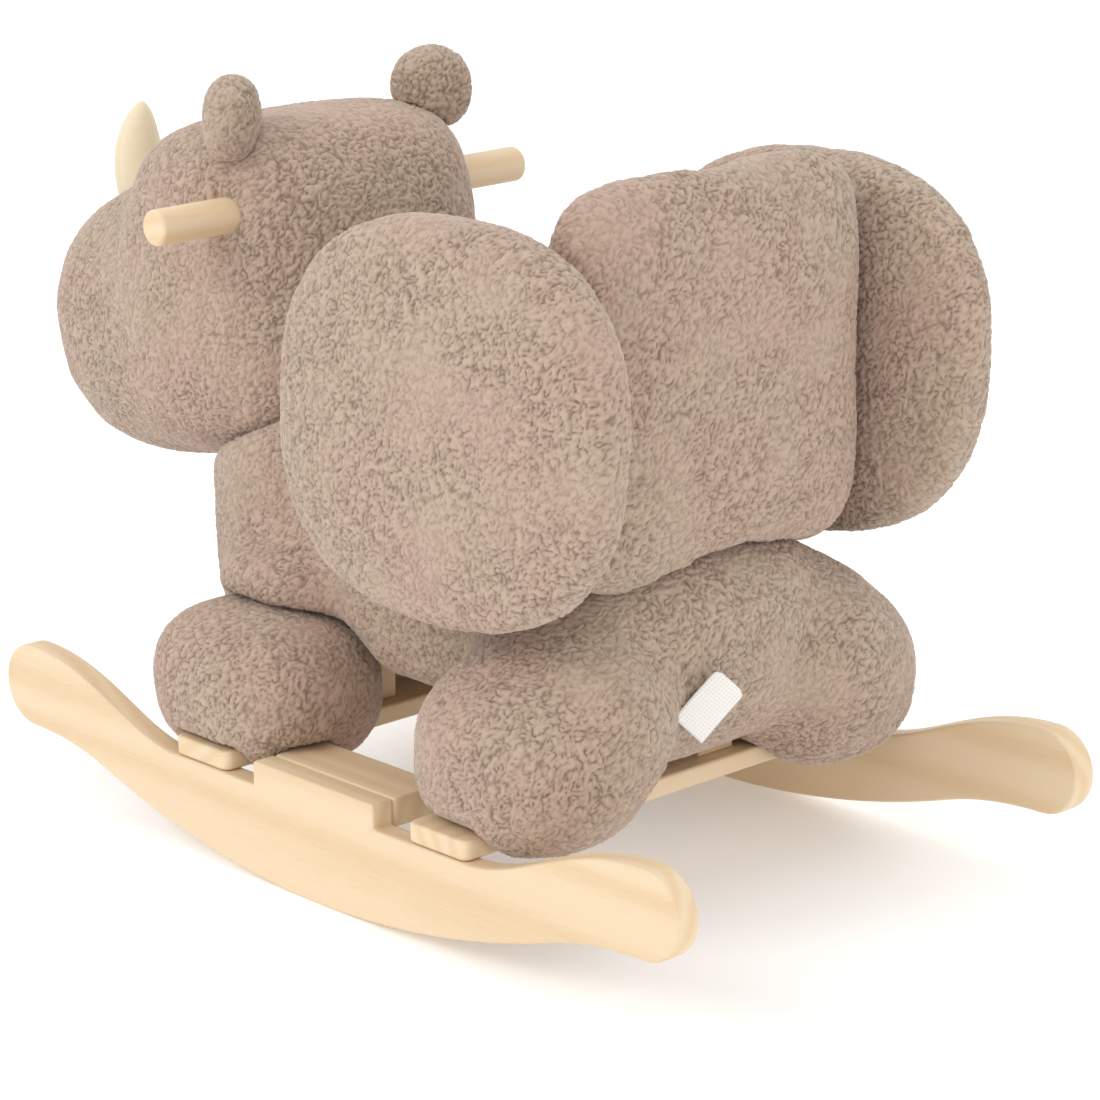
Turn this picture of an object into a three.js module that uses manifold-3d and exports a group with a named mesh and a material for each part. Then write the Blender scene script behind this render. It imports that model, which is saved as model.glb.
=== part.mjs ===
// Plush rhinoceros rocker: wooden rockers and inner frame, with padded fleece covers over it.
// Millimetres, +Z up. The animal faces -X, and its left side is -Y. Z = 0 is where it stands.
import * as THREE from 'three';
import * as BufferGeometryUtils from 'three/addons/utils/BufferGeometryUtils.js';
import Module from 'manifold-3d';

const wasm = await Module();
wasm.setup();

// ---------- Driving dimensions ----------
const FIT_GAP = 0.3;              // between pieces that touch
const PAD_GAP = 0.6;              // between padding and what it wraps or leans on

const OVERALL_WIDTH = 340;        // over the outer faces of the two rockers
const ROCKER_LENGTH = 600;
const ROCKER_BOARD = 16;          // thickness of the rocker boards
const ROCKER_RADIUS = 640;        // of the edge that rolls on the floor
const ROCKER_TOP = 59;            // height of the straight top edge
const TIP_RUN = 100;              // length of each turned-up tip
const TIP_RISE = 11;              // how far the underside climbs along a tip
const TIP_RADIUS = 26;
const EDGE_ROUND = 1.5;           // broken edges on all the boards

const FOOTREST_LENGTH = 108;
const FOOTREST_WIDTH = 38;
const FOOTREST_THICKNESS = 18;
const FOOTREST_RISE = 15;         // of its top above the rocker's straight edge
const PAW_LIFT = 3;               // of the front paws above the footrests

const BAR_SPREAD = 212;           // between the middles of the two cross bars
const BAR_WIDTH = 50;
const BAR_THICKNESS = 12;
const BAR_SETBACK = 2;            // of its ends from the rockers' outer faces
const BAR_CORNER = 6;

const POST_SIDE = 28;             // square posts between cross bars and seat board
const POST_SPREAD = 80;           // between the middles of a pair
const SEAT_BOARD_FRONT = 165;     // ahead of the rockers' middle
const SEAT_BOARD_REAR = 125;
const SEAT_BOARD_WIDTH = 130;
const SEAT_BOARD_THICKNESS = 12;
const SEAT_BOARD_TOP = 207;
const RAIL_WIDTH = 30;            // rails that carry the armrest boards
const RAIL_THICKNESS = 16;
const FRONT_RAIL_X = 15;
const REAR_RAIL_X = 118;

const ARM_THICKNESS = 52;         // padded armrests
const ARM_LENGTH = 270;
const ARM_HEIGHT = 232;
const ARM_BOTTOM = 184;
const ARM_X = 96;                 // middle of an armrest
const ARM_LEAN = 0.09;            // backward lean of its front and rear edges
const ARM_BOARD_THICKNESS = 9;
const ARM_BOARD_LENGTH = 176;
const ARM_BOARD_HEIGHT = 168;
const ARM_BOARD_CORNER = 45;

const BACK_FRONT_X = 122;         // padded backrest
const BACK_THICKNESS = 62;
const BACK_BOTTOM = 197;
const BACK_TOP = 432;
const BACK_BOARD_THICKNESS = 12;
const BACK_BOARD_WIDTH = 180;
const BACK_BOARD_HEIGHT = 180;

const CUSHION_LENGTH = 176;
const CUSHION_THICKNESS = 36;
const CUSHION_BOTTOM = 206;

const NECK_BOARD_THICKNESS = 18;
const NECK_BOARD_LENGTH = 74;
const NECK_BOARD_HEAD_RADIUS = 34;
const HANDLE_X = -163;
const HANDLE_Z = 372;
const HANDLE_DIAMETER = 22;
const HANDLE_LENGTH = 290;
const HANDLE_EDGE = 3;

const EAR_SIZE = 53;
const EAR_THICKNESS = 34;
const EAR_SPREAD = 158;           // between the middles of the ears
const EAR_X = -168;
const EAR_Z = 428;
const EAR_TURN = 38;              // degrees that each ear's face turns outward
const HORN_BASE_X = -356;
const HORN_BASE_Z = 336;
const HORN_HEIGHT = 71;
const HORN_RADIUS = 18;
const HORN_BEND = 8;
const HORN_TILT = -5;             // degrees, tip toward the front

const LABEL_LENGTH = 38;
const LABEL_WIDTH = 21;
const LABEL_THICKNESS = 1.2;
const LABEL_Y = -35;
const LABEL_Z = 134;
const LABEL_TURN = 45;

const SCREW_RADIUS = 2.5;
const SCREW_HEAD_RADIUS = 4;
const SCREW_HEAD_HEIGHT = 3;
const SCREW_PAIR = 20;            // between the two screws of a pair

// ---------- Padded shapes: middle, half sizes, outline and edge fullness, nose-down tilt ----------
const BARREL = { at: [0, 0, 161], half: [180, 106, 57], outline: 3.2, edge: 3.2 };
const CHEST = { at: [-142, 0, 177], half: [66, 103, 100], outline: 2.8, edge: 3.2 };
const RUMP = { at: [112, 0, 149], half: [74, 112, 68], outline: 2.8, edge: 2.1 };
const CRANIUM = { at: [-194, 0, 321], half: [92, 99, 102], outline: 4.4, edge: 2.8, tilt: 8 };
const SNOUT = { at: [-294, 0, 279], half: [111, 89, 91], outline: 2.3, edge: 2.2, tilt: 13 };
const HIND_THIGH = { x: 132, y: 88, z: 133, half: [66, 50, 52] };
const FRONT_THIGH = { x: -113, y: 90, z: 131, half: [61, 50, 50] };
const HIND_PAW = { x: 124, y: 113, z: 107, half: [66, 57, 54] };
const FRONT_PAW = { x: -107, y: 113, z: 99, half: [70, 57, 49] };
const THIGH_FULLNESS = 2.2;
const PAW_FULLNESS = 2.5;

// ---------- Worked out from the above ----------
const OUTER_Y = OVERALL_WIDTH / 2;
const INNER_Y = OUTER_Y - ROCKER_BOARD;
const SEAT_HALF_GAP = OUTER_Y - ARM_THICKNESS;
const ARM_Y = OUTER_Y - ARM_THICKNESS / 2;
const BAR_X = BAR_SPREAD / 2;
const BAR_BOTTOM = ROCKER_TOP + FIT_GAP;
const BAR_TOP = BAR_BOTTOM + BAR_THICKNESS;
const SEAT_BOARD_BOTTOM = SEAT_BOARD_TOP - SEAT_BOARD_THICKNESS;
const RAIL_BOTTOM = SEAT_BOARD_TOP + FIT_GAP;
const RAIL_MIDDLE_Z = RAIL_BOTTOM + RAIL_THICKNESS / 2;
const ARM_BOARD_INNER_Y = ARM_Y - ARM_BOARD_THICKNESS / 2;
const BACK_BOARD_X = REAR_RAIL_X + RAIL_WIDTH / 2 + FIT_GAP + BACK_BOARD_THICKNESS / 2;
const SIDES = [['left', -1], ['right', 1]];

// ---------- Materials ----------
function material(color, roughness, metalness = 0) {
  return new THREE.MeshStandardMaterial({ color, roughness, metalness });
}
const pine = material(0xf0ddc0, 0.55);
const plywood = material(0xd9bd92, 0.65);
const fleece = material(0xbeaa97, 0.95);
const felt = material(0xe9dcc6, 0.9);
const tape = material(0xf1efec, 0.8);
const zincSteel = material(0xb9bcc0, 0.35, 0.9);

// ---------- Solids ----------
function toSolid(source) {
  const plain = source.clone();
  plain.deleteAttribute('normal');
  plain.deleteAttribute('uv');
  const merged = BufferGeometryUtils.mergeVertices(plain, 1e-4);
  const vertProperties = new Float32Array(merged.attributes.position.array);
  const triVerts = new Uint32Array(merged.index.array);
  return new wasm.Manifold(new wasm.Mesh({ numProp: 3, vertProperties, triVerts }));
}

function toGeometry(solid) {
  const mesh = solid.getMesh();
  const geometry = new THREE.BufferGeometry();
  geometry.setAttribute('position', new THREE.BufferAttribute(mesh.vertProperties, mesh.numProp));
  geometry.setIndex(new THREE.BufferAttribute(mesh.triVerts, 1));
  geometry.computeVertexNormals();
  return geometry;
}

function cutAway(geometry, cutters) {
  const cut = cutters.reduce((left, cutter) => left.subtract(toSolid(cutter)), toSolid(geometry));
  return toGeometry(cut);
}

function joinUp(geometries) {
  return toGeometry(geometries.map(toSolid).reduce((sum, next) => sum.add(next)));
}

// A rounded rectangle centred on the origin.
function roundedRectangle(length, width, corner) {
  const x = length / 2;
  const y = width / 2;
  const shape = new THREE.Shape();
  shape.moveTo(-x + corner, -y);
  shape.lineTo(x - corner, -y);
  shape.absarc(x - corner, -y + corner, corner, -Math.PI / 2, 0);
  shape.lineTo(x, y - corner);
  shape.absarc(x - corner, y - corner, corner, 0, Math.PI / 2);
  shape.lineTo(-x + corner, y);
  shape.absarc(-x + corner, y - corner, corner, Math.PI / 2, Math.PI);
  shape.lineTo(-x, -y + corner);
  shape.absarc(-x + corner, -y + corner, corner, Math.PI, Math.PI * 1.5);
  return shape;
}

// A board of the given thickness, centred on Z = 0, with broken edges inside its outline.
function board(shape, thickness, curveSegments = 4) {
  const flat = thickness - 2 * EDGE_ROUND;
  const geometry = new THREE.ExtrudeGeometry(shape, {
    depth: flat,
    curveSegments,
    bevelThickness: EDGE_ROUND,
    bevelSize: EDGE_ROUND,
    bevelOffset: -EDGE_ROUND,
    bevelSegments: 1,
  });
  return geometry.translate(0, 0, -flat / 2);
}

// A board lying flat, standing across (its faces along X) or standing lengthways (its faces along Y).
function flatBoard(length, width, thickness, corner, at) {
  return board(roundedRectangle(length, width, corner), thickness).translate(...at);
}

function crossBoard(width, height, thickness, corner, at) {
  const geometry = board(roundedRectangle(width, height, corner), thickness);
  return geometry.rotateX(Math.PI / 2).rotateZ(Math.PI / 2).translate(...at);
}

function sideBoard(length, height, thickness, corner, at) {
  const geometry = board(roundedRectangle(length, height, corner), thickness);
  return geometry.rotateX(Math.PI / 2).translate(...at);
}

// The space that a plain block takes, used to cut pockets for boards.
function block(size, at, gap = PAD_GAP) {
  return new THREE.BoxGeometry(...size.map((side) => side + 2 * gap)).translate(...at);
}

// A closed pillow shape. outline is its fullness seen along Y or Z, edge the fullness of its rim.
function pillow(half, outline, edge, rimAxis = 'z', segments = 22) {
  const geometry = new THREE.SphereGeometry(1, segments, Math.round(segments / 2));
  if (rimAxis === 'z') geometry.rotateX(Math.PI / 2);
  if (rimAxis === 'x') geometry.rotateZ(Math.PI / 2);
  const rim = { x: 0, y: 1, z: 2 }[rimAxis];
  const position = geometry.attributes.position;
  const point = new THREE.Vector3();
  for (let i = 0; i < position.count; i += 1) {
    point.fromBufferAttribute(position, i);
    const across = [0, 1, 2].filter((axis) => axis !== rim);
    const face = across.reduce((sum, axis) => sum + Math.abs(point.getComponent(axis)) ** outline, 0);
    const total = face ** (edge / outline) + Math.abs(point.getComponent(rim)) ** edge;
    point.multiplyScalar(total ** (-1 / edge)).multiply(new THREE.Vector3(...half));
    position.setXYZ(i, point.x, point.y, point.z);
  }
  return geometry;
}

function padded(shape, rimAxis, gap = 0) {
  const half = shape.half.map((side) => side + gap);
  const geometry = pillow(half, shape.outline, shape.edge, rimAxis);
  geometry.rotateY(-THREE.MathUtils.degToRad(shape.tilt ?? 0));
  return geometry.translate(...shape.at);
}

function legPillow(leg, side, fullness, gap = 0) {
  const half = leg.half.map((length) => length + gap);
  return pillow(half, fullness, fullness, 'z', 18).translate(leg.x, side * leg.y, leg.z);
}

// A solid turned round Z from [radius, height] points that start and end on the axis.
function turned(points, segments) {
  const profile = points.map(([radius, height]) => new THREE.Vector2(radius, height));
  return new THREE.LatheGeometry(profile, segments).rotateX(Math.PI / 2);
}

// ---------- Rockers ----------
function rockerShape() {
  const end = ROCKER_LENGTH / 2;
  const arcEnd = end - TIP_RUN;
  const arcAngle = Math.asin(arcEnd / ROCKER_RADIUS);
  const arcEndZ = ROCKER_RADIUS * (1 - Math.cos(arcAngle));
  const slope = Math.tan(arcAngle);
  const tipX = end - TIP_RADIUS;
  const underZ = arcEndZ + TIP_RISE;
  const overZ = underZ + 2 * TIP_RADIUS;
  const reach = (tipX - arcEnd) / 3;
  const flatEnd = BAR_X + BAR_WIDTH / 2 + 2;
  const swoop = (tipX - flatEnd) / 3;
  const tab = FOOTREST_LENGTH / 2;
  const tabTop = ROCKER_TOP + FOOTREST_RISE;
  const corner = 3;
  const quarter = Math.PI / 2;

  const shape = new THREE.Shape();
  shape.moveTo(-arcEnd, arcEndZ);
  shape.absarc(0, ROCKER_RADIUS, ROCKER_RADIUS, -quarter - arcAngle, -quarter + arcAngle);
  shape.bezierCurveTo(arcEnd + reach, arcEndZ + slope * reach, tipX - reach, underZ, tipX, underZ);
  shape.absarc(tipX, underZ + TIP_RADIUS, TIP_RADIUS, -quarter, quarter);
  shape.bezierCurveTo(tipX - 1.35 * swoop, overZ, flatEnd + swoop, ROCKER_TOP + 3, flatEnd, ROCKER_TOP);
  shape.lineTo(tab, ROCKER_TOP);
  shape.lineTo(tab, tabTop - corner);
  shape.absarc(tab - corner, tabTop - corner, corner, 0, quarter);
  shape.lineTo(-tab + corner, tabTop);
  shape.absarc(-tab + corner, tabTop - corner, corner, quarter, Math.PI);
  shape.lineTo(-tab, ROCKER_TOP);
  shape.lineTo(-flatEnd, ROCKER_TOP);
  shape.bezierCurveTo(-flatEnd - swoop, ROCKER_TOP + 3, -tipX + 1.35 * swoop, overZ, -tipX, overZ);
  shape.absarc(-tipX, underZ + TIP_RADIUS, TIP_RADIUS, quarter, 3 * quarter);
  shape.bezierCurveTo(-tipX + reach, underZ, -arcEnd - reach, arcEndZ + slope * reach, -arcEnd, arcEndZ);
  return shape;
}

function rocker(side) {
  const geometry = board(rockerShape(), ROCKER_BOARD, 8);
  return geometry.rotateX(Math.PI / 2).translate(0, side * (OUTER_Y - ROCKER_BOARD / 2), 0);
}

function footrest(side) {
  const y = side * (INNER_Y - FIT_GAP - FOOTREST_WIDTH / 2);
  const z = ROCKER_TOP + FOOTREST_RISE - FOOTREST_THICKNESS / 2;
  return flatBoard(FOOTREST_LENGTH, FOOTREST_WIDTH, FOOTREST_THICKNESS, 3, [0, y, z]);
}

const BAR_LENGTH = OVERALL_WIDTH - 2 * BAR_SETBACK;

function crossBar(end) {
  const at = [end * BAR_X, 0, BAR_BOTTOM + BAR_THICKNESS / 2];
  return flatBoard(BAR_WIDTH, BAR_LENGTH, BAR_THICKNESS, BAR_CORNER, at);
}

// ---------- Inner frame ----------
function post(end, side) {
  const bottom = BAR_TOP + FIT_GAP;
  const height = SEAT_BOARD_BOTTOM - FIT_GAP - bottom;
  const at = [end * BAR_X, side * POST_SPREAD / 2, bottom + height / 2];
  return { size: [POST_SIDE, POST_SIDE, height], at };
}

const SEAT_BOARD = {
  size: [SEAT_BOARD_FRONT + SEAT_BOARD_REAR, SEAT_BOARD_WIDTH, SEAT_BOARD_THICKNESS],
  at: [(SEAT_BOARD_REAR - SEAT_BOARD_FRONT) / 2, 0, SEAT_BOARD_TOP - SEAT_BOARD_THICKNESS / 2],
};

function rail(x) {
  return { size: [RAIL_WIDTH, 2 * (ARM_BOARD_INNER_Y - FIT_GAP), RAIL_THICKNESS], at: [x, 0, RAIL_MIDDLE_Z] };
}

function armBoard(side) {
  const at = [(FRONT_RAIL_X + REAR_RAIL_X) / 2, side * ARM_Y, RAIL_BOTTOM + ARM_BOARD_HEIGHT / 2];
  return { size: [ARM_BOARD_LENGTH, ARM_BOARD_THICKNESS, ARM_BOARD_HEIGHT], at };
}

const BACK_BOARD = {
  size: [BACK_BOARD_THICKNESS, BACK_BOARD_WIDTH, BACK_BOARD_HEIGHT],
  at: [BACK_BOARD_X, 0, RAIL_BOTTOM + BACK_BOARD_HEIGHT / 2],
};

// The board that stands on the seat board, inside neck and head, and holds the handle.
function neckShape(gap = 0) {
  const foot = RAIL_BOTTOM - gap;
  const half = NECK_BOARD_LENGTH / 2 + gap;
  const radius = NECK_BOARD_HEAD_RADIUS + gap;
  const footX = -SEAT_BOARD_FRONT + NECK_BOARD_LENGTH / 2;
  const shape = new THREE.Shape();
  shape.moveTo(footX - half, foot);
  shape.lineTo(footX + half, foot);
  shape.lineTo(HANDLE_X + radius, HANDLE_Z);
  shape.absarc(HANDLE_X, HANDLE_Z, radius, 0, Math.PI);
  return shape;
}

function handleSpace(gap) {
  const rod = new THREE.CylinderGeometry(HANDLE_DIAMETER / 2 + gap, HANDLE_DIAMETER / 2 + gap, HANDLE_LENGTH, 28);
  return rod.translate(HANDLE_X, 0, HANDLE_Z);
}

function neckBoard() {
  const geometry = board(neckShape(), NECK_BOARD_THICKNESS, 8).rotateX(Math.PI / 2);
  return cutAway(geometry, [handleSpace(FIT_GAP)]);
}

function neckPocket() {
  const depth = NECK_BOARD_THICKNESS + 2 * PAD_GAP;
  const geometry = new THREE.ExtrudeGeometry(neckShape(PAD_GAP), { depth, bevelEnabled: false, curveSegments: 8 });
  return geometry.translate(0, 0, -depth / 2).rotateX(Math.PI / 2);
}

function handle() {
  const radius = HANDLE_DIAMETER / 2;
  const half = HANDLE_LENGTH / 2;
  const rim = [0, 45, 90].map((angle) => THREE.MathUtils.degToRad(angle));
  const lower = rim.map((a) => [radius - HANDLE_EDGE + HANDLE_EDGE * Math.sin(a), -half + HANDLE_EDGE * (1 - Math.cos(a))]);
  const upper = lower.map(([r, z]) => [r, -z]).reverse();
  return turned([[0, -half], ...lower, ...upper, [0, half]], 24).rotateX(Math.PI / 2).translate(HANDLE_X, 0, HANDLE_Z);
}

// ---------- Screws ----------
// Every screw is given by the middle of its head's face, the way that face looks, and its length.
function screwSpace(screw, gap) {
  const radius = SCREW_RADIUS + gap;
  const head = SCREW_HEAD_RADIUS + gap;
  const points = [[0, -screw.length - gap], [radius, -screw.length - gap], [radius, -SCREW_HEAD_HEIGHT],
    [head, -SCREW_HEAD_HEIGHT + radius / 2], [head, gap], [0, gap]];
  const geometry = turned(points, 8);
  const turn = new THREE.Quaternion().setFromUnitVectors(new THREE.Vector3(0, 0, 1), new THREE.Vector3(...screw.facing));
  return geometry.applyQuaternion(turn).translate(...screw.at);
}

const screws = [];
for (const [endName, end] of [['front', -1], ['rear', 1]]) {
  for (const [sideName, side] of SIDES) {
    for (const [number, step] of [[1, -1], [2, 1]]) {
      const at = [end * BAR_X + step * SCREW_PAIR / 2, side * (INNER_Y + ROCKER_BOARD / 2), BAR_TOP - 3];
      screws.push({ name: `bar_screw_${endName}_${sideName}_${number}`, at, facing: [0, 0, 1], length: 48 });
    }
    const under = [end * BAR_X, side * POST_SPREAD / 2, BAR_BOTTOM + 1];
    screws.push({ name: `post_screw_${endName}_${sideName}`, at: under, facing: [0, 0, -1], length: 50 });
  }
}
for (const [sideName, side] of SIDES) {
  for (const [endName, x] of [['front', FRONT_RAIL_X], ['rear', REAR_RAIL_X]]) {
    const at = [x, side * (ARM_Y + ARM_BOARD_THICKNESS / 2 - 1), RAIL_MIDDLE_Z];
    screws.push({ name: `armrest_screw_${endName}_${sideName}`, at, facing: [0, side, 0], length: 40 });
  }
  for (const [endName, end] of [['front', -1], ['rear', 1]]) {
    const y = side * (INNER_Y - FIT_GAP - FOOTREST_WIDTH + 1);
    const at = [end * FOOTREST_LENGTH / 3, y, ROCKER_TOP + FOOTREST_RISE - FOOTREST_THICKNESS / 2];
    screws.push({ name: `footrest_screw_${endName}_${sideName}`, at, facing: [0, -side, 0], length: 48 });
  }
  const at = [BACK_BOARD_X + BACK_BOARD_THICKNESS / 2 - 1, side * BACK_BOARD_WIDTH / 3, RAIL_MIDDLE_Z];
  screws.push({ name: `backrest_screw_${sideName}`, at, facing: [1, 0, 0], length: 32 });
}
const screwHoles = screws.map((screw) => screwSpace(screw, FIT_GAP));

// ---------- Padded covers ----------
const headShapes = (gap) => [padded(CRANIUM, 'x', gap), padded(SNOUT, 'x', gap)];

function frameSpaces() {
  const posts = [-1, 1].flatMap((end) => [-1, 1].map((side) => post(end, side)));
  const boards = [...posts, SEAT_BOARD, rail(FRONT_RAIL_X), rail(REAR_RAIL_X), armBoard(-1), armBoard(1), BACK_BOARD];
  return [...boards.map(({ size, at }) => block(size, at)), neckPocket()];
}

function barSpace(end) {
  const at = [end * BAR_X, 0, BAR_BOTTOM + BAR_THICKNESS / 2];
  return block([BAR_WIDTH, BAR_LENGTH, BAR_THICKNESS], at);
}

function body() {
  const thighs = [-1, 1].flatMap((side) => [
    legPillow(HIND_THIGH, side, THIGH_FULLNESS),
    legPillow(FRONT_THIGH, side, THIGH_FULLNESS),
  ]);
  const whole = joinUp([padded(BARREL, 'z'), padded(CHEST, 'z'), padded(RUMP, 'z'), ...thighs]);
  const paws = [-1, 1].flatMap((side) => [
    legPillow(HIND_PAW, side, PAW_FULLNESS, PAD_GAP),
    legPillow(FRONT_PAW, side, PAW_FULLNESS, PAD_GAP),
  ]);
  const neighbours = [...headShapes(PAD_GAP), ...paws, barSpace(-1), barSpace(1), label(PAD_GAP)];
  return cutAway(whole, [...neighbours, ...frameSpaces()]);
}

// The raised middle of a rocker together with its footrest.
function stepSpace(side) {
  const width = ROCKER_BOARD + FIT_GAP + FOOTREST_WIDTH;
  const height = ROCKER_TOP + FOOTREST_RISE + PAW_LIFT;
  return block([FOOTREST_LENGTH, width, height], [0, side * (OUTER_Y - width / 2), height / 2], PAD_GAP);
}

function paw(leg, side) {
  return cutAway(legPillow(leg, side, PAW_FULLNESS), [barSpace(Math.sign(leg.x)), stepSpace(side)]);
}

function head() {
  return cutAway(joinUp(headShapes(0)), [neckPocket(), handleSpace(PAD_GAP)]);
}

function armrest(side) {
  const half = [ARM_LENGTH / 2, ARM_THICKNESS / 2, ARM_HEIGHT / 2];
  const lean = new THREE.Matrix4().makeShear(0, 0, 0, 0, ARM_LEAN, 0);
  const geometry = pillow(half, 2.5, 4, 'y', 26).applyMatrix4(lean);
  geometry.translate(ARM_X, side * ARM_Y, ARM_BOTTOM + ARM_HEIGHT / 2);
  return cutAway(geometry, [...frameSpaces(), ...screwHoles]);
}

function backrest() {
  const half = [BACK_THICKNESS / 2, SEAT_HALF_GAP - PAD_GAP, (BACK_TOP - BACK_BOTTOM) / 2];
  const geometry = pillow(half, 6, 2.8, 'x', 24);
  geometry.translate(BACK_FRONT_X + BACK_THICKNESS / 2, 0, (BACK_TOP + BACK_BOTTOM) / 2);
  const below = [padded(BARREL, 'z', PAD_GAP), padded(RUMP, 'z', PAD_GAP)];
  return cutAway(geometry, [...below, ...frameSpaces(), ...screwHoles]);
}

function seatCushion() {
  const half = [CUSHION_LENGTH / 2, SEAT_HALF_GAP - PAD_GAP, CUSHION_THICKNESS / 2];
  const geometry = pillow(half, 5, 2.4, 'z', 24);
  geometry.translate(BACK_FRONT_X - PAD_GAP - CUSHION_LENGTH / 2, 0, CUSHION_BOTTOM + CUSHION_THICKNESS / 2);
  const below = [padded(BARREL, 'z', PAD_GAP), padded(CHEST, 'z', PAD_GAP), padded(RUMP, 'z', PAD_GAP)];
  return cutAway(geometry, [...below, ...frameSpaces()]);
}

function ear(side) {
  const geometry = pillow([EAR_THICKNESS / 2, EAR_SIZE / 2, EAR_SIZE / 2], 2, 2.3, 'x', 18);
  geometry.rotateZ(-side * THREE.MathUtils.degToRad(EAR_TURN)).translate(EAR_X, side * EAR_SPREAD / 2, EAR_Z);
  return cutAway(geometry, headShapes(PAD_GAP));
}

function horn() {
  const steps = [0, 0.15, 0.3, 0.45, 0.6, 0.75, 0.88, 0.96];
  const side = steps.map((t) => [HORN_RADIUS * (1 - t ** 2.5) ** 0.62, HORN_HEIGHT * t]);
  const geometry = turned([[0, 0], ...side, [0, HORN_HEIGHT]], 18);
  const position = geometry.attributes.position;
  for (let i = 0; i < position.count; i += 1) {
    const t = position.getZ(i) / HORN_HEIGHT;
    position.setX(i, position.getX(i) - HORN_BEND * Math.sin(Math.PI * t));
  }
  geometry.rotateY(THREE.MathUtils.degToRad(HORN_TILT)).translate(HORN_BASE_X, 0, HORN_BASE_Z);
  return cutAway(geometry, headShapes(PAD_GAP));
}

// The sewn tag lies against the rump, which is pressed in a little under it.
function label(gap = 0) {
  const geometry = block([LABEL_THICKNESS, LABEL_LENGTH, LABEL_WIDTH], [0, 0, 0], gap);
  geometry.rotateX(THREE.MathUtils.degToRad(LABEL_TURN));
  const x = RUMP.at[0] + RUMP.half[0] + PAD_GAP + LABEL_THICKNESS / 2;
  return geometry.translate(x, LABEL_Y, LABEL_Z);
}

// ---------- Assembly ----------
const group = new THREE.Group();

function add(name, geometry, finish) {
  const mesh = new THREE.Mesh(geometry, finish);
  mesh.name = name;
  group.add(mesh);
}

function addBoard(name, geometry, finish = plywood) {
  add(name, cutAway(geometry, screwHoles), finish);
}

const plank = ({ size, at }) => new THREE.BoxGeometry(...size).translate(...at);

for (const [name, side] of SIDES) {
  addBoard(`rocker_${name}`, rocker(side), pine);
  addBoard(`footrest_${name}`, footrest(side), pine);
  const { size, at } = armBoard(side);
  addBoard(`armrest_board_${name}`, sideBoard(size[0], size[2], size[1], ARM_BOARD_CORNER, at));
  add(`armrest_${name}`, armrest(side), fleece);
  add(`ear_${name}`, ear(side), fleece);
}
for (const [endName, end, pawShape] of [['front', -1, FRONT_PAW], ['rear', 1, HIND_PAW]]) {
  addBoard(`cross_bar_${endName}`, crossBar(end), pine);
  for (const [name, side] of SIDES) {
    addBoard(`leg_post_${endName}_${name}`, plank(post(end, side)), pine);
    add(`paw_${endName}_${name}`, paw(pawShape, side), fleece);
  }
}
addBoard('seat_board', plank(SEAT_BOARD));
addBoard('armrest_rail_front', plank(rail(FRONT_RAIL_X)), pine);
addBoard('armrest_rail_rear', plank(rail(REAR_RAIL_X)), pine);
addBoard('backrest_board', crossBoard(BACK_BOARD_WIDTH, BACK_BOARD_HEIGHT, BACK_BOARD_THICKNESS, 20, BACK_BOARD.at));
add('neck_board', neckBoard(), plywood);
add('handle', handle(), pine);
for (const screw of screws) add(screw.name, screwSpace(screw, 0), zincSteel);
add('body', body(), fleece);
add('head', head(), fleece);
add('backrest', backrest(), fleece);
add('seat_cushion', seatCushion(), fleece);
add('horn', horn(), felt);
add('label', label(), tape);

// The origin lies under the middle of the whole rocker, which the head makes longer at the front.
const bounds = new THREE.Box3().setFromObject(group);
group.position.set(-(bounds.min.x + bounds.max.x) / 2, 0, -bounds.min.z);

export default group;
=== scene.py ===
"""Plush rhinoceros rocker: curly fleece covers over a wooden frame on two curved boards.

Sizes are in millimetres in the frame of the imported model, with X along the rocker and the animal facing -X.
"""
import math

import bmesh
import bpy
import numpy as np
from bpy.props import FloatProperty, PointerProperty, StringProperty
from mathutils import Matrix, Vector


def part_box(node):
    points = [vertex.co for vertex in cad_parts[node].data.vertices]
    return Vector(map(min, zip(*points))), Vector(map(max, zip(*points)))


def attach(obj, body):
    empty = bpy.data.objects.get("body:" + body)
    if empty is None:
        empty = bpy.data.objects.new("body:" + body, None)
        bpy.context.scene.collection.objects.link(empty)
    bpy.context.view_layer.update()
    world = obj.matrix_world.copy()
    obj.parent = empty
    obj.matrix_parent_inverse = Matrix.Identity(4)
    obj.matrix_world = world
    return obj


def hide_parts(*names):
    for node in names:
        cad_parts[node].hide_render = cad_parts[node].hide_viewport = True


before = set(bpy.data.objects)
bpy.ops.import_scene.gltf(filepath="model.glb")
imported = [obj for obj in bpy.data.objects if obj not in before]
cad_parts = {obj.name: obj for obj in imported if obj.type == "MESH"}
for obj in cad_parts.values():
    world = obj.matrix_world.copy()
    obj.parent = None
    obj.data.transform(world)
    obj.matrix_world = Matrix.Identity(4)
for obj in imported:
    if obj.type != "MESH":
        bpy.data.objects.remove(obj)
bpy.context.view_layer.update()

bl_info = {
    "name": "Plush Rhinoceros Rocker",
    "version": (1, 0, 0),
    "blender": (4, 5, 0),
    "location": "View3D > Sidebar > Rocker",
    "description": "Builds a plush rhinoceros rocker around its packed frame",
    "category": "Object",
}

MM = 0.001
BODY = "root"
PUFF_FRAMES = 20  # how long the filling is blown in
ARMREST_HALF_LENGTH = 135


# ---------- Places taken from the frame, in millimetres ----------
def node_box(node):
    """Lowest and highest corner of a node of the frame, in millimetres."""
    low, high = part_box(node)
    return np.array(low) / MM, np.array(high) / MM


def middle_and_half(node):
    low, high = node_box(node)
    return (low + high) / 2, (high - low) / 2


ROCKER_LOW, ROCKER_HIGH = node_box("rocker_left")
MIDDLE_X = (ROCKER_LOW[0] + ROCKER_HIGH[0]) / 2
SIDES = (("left", -1), ("right", 1))


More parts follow.
